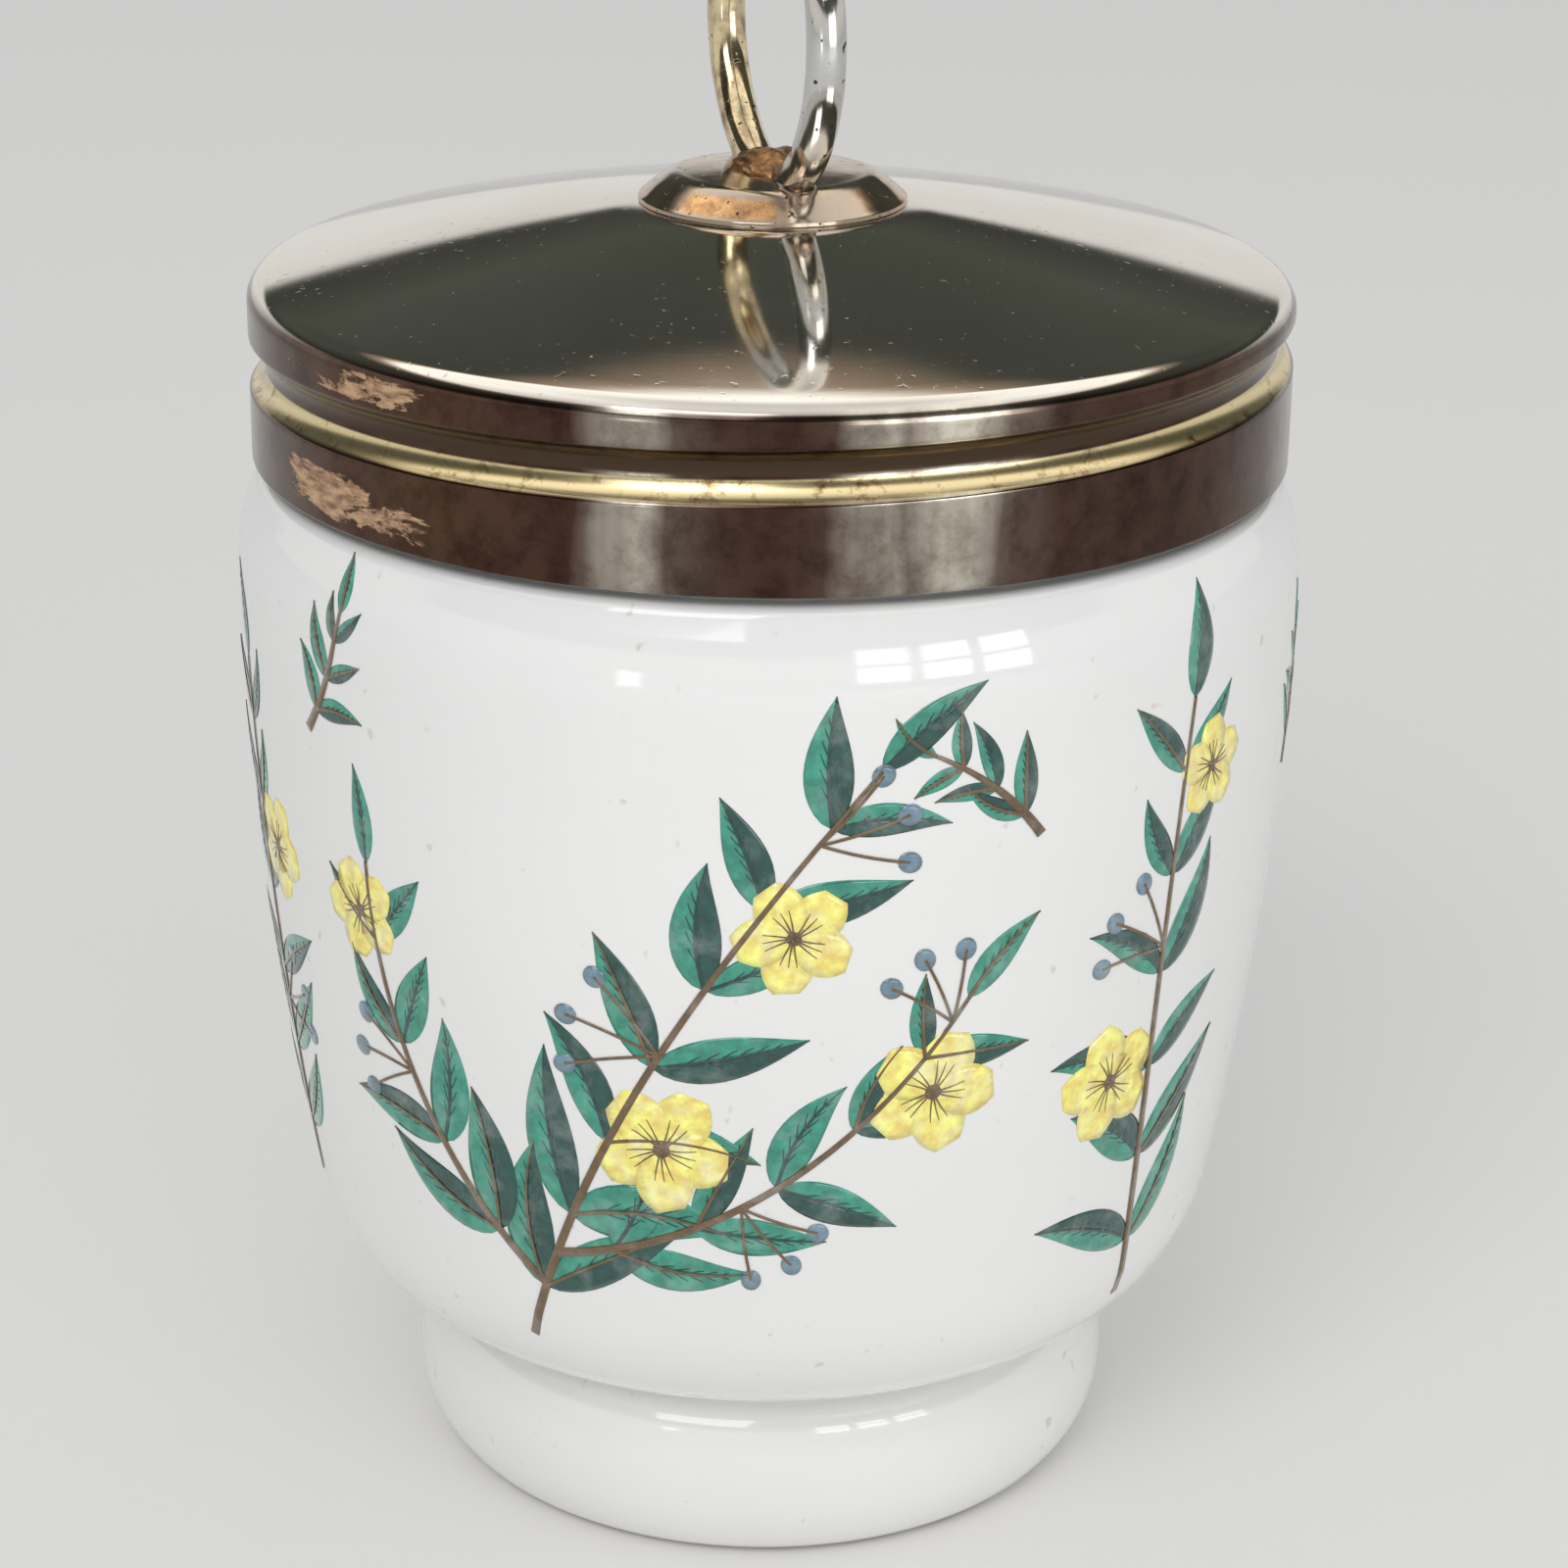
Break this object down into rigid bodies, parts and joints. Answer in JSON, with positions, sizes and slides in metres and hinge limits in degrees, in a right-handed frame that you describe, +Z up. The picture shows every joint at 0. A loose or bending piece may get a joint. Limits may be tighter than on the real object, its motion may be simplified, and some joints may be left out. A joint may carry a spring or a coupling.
{
  "type": "porcelain egg coddler",
  "caption": "Glazed porcelain egg coddler cup on a foot ring, closed by a threaded plated metal lid with a wire lifting ring.",
  "frame": {"origin": "centre of the face that the foot ring stands on", "axes": "+Z up along the cup's axis; the lifting ring stands in the YZ plane"},
  "size_m": [0.057, 0.057, 0.0887],
  "materials": {
    "porcelain": "clear high-gloss glaze over white porcelain, with a printed floral spray",
    "plated_lid": "polished plating over brass, worn to the brass in the rolled groove, light scratches",
    "plated_boss": "polished plating, dull near the braze",
    "ring_wire": "plated wire, worn to brass on one side",
    "braze_metal": "rough brazing metal, brown with heat",
    "rove_metal": "dull plain brass"
  },
  "bodies": {
    "cup_body": {"cup": "porcelain"},
    "rise_body": {"rove": "rove_metal"},
    "lid_body": {"lid_shell": "plated_lid", "ring_boss": "plated_boss", "lifting_ring": "ring_wire", "braze": "braze_metal"}
  },
  "joints": [
    {"name": "lid_rise", "type": "slide", "parent": "cup_body", "child": "rise_body", "axis": [0, 0, 1], "range_m": [0, 0.0105]},
    {"name": "lid_turn", "type": "hinge", "parent": "rise_body", "child": "lid_body", "pos_m": [0, 0, 0.0705], "axis": [0, 0, 1], "range_deg": [0, 1080]}
  ],
  "couplings": [
    {"joint": "lid_turn", "follows": "lid_rise", "rad_per_m": 1795.2}
  ]
}
